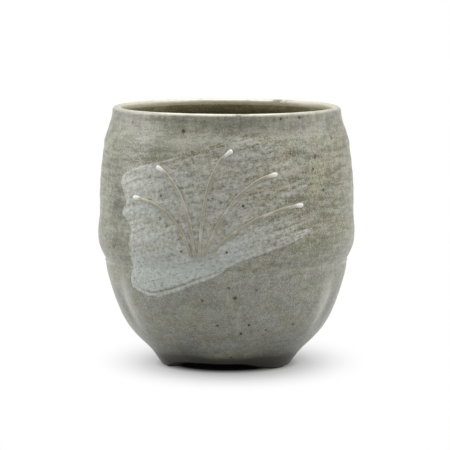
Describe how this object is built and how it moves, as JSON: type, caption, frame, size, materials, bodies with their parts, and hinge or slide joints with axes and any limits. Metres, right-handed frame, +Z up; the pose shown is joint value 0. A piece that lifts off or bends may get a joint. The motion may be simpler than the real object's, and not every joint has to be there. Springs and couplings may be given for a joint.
{
  "type": "yunomi tea cup",
  "caption": "Round-shouldered tea cup without a handle, with a belted wall, thumbed flats and an arched foot ring.",
  "frame": {"origin": "centre of the circle that the foot stands on, on the table plane", "axes": "+Z up along the cup's axis, -Y towards the front with the slip sweep, +X to the viewer's right"},
  "size_m": [0.0866, 0.0875, 0.0872],
  "materials": {
    "stoneware": "bare grey-buff stoneware, matt and slightly gritty",
    "foot_clay": "bare trimmed stoneware, rubbed smooth where it stands",
    "liner_glaze": "olive-grey satin glaze",
    "outer_glaze": "grey-olive satin glaze with iron specks",
    "white_slip": "thin brushed white slip under a satin glaze",
    "trailed_slip": "raised white slip lines with a glassy surface"
  },
  "bodies": {
    "root": {"stoneware_body": "stoneware", "foot_ring": "foot_clay", "liner_glaze": "liner_glaze", "outer_glaze": "outer_glaze", "brushed_slip": "white_slip", "trailed_lines": "trailed_slip"}
  },
  "joints": []
}
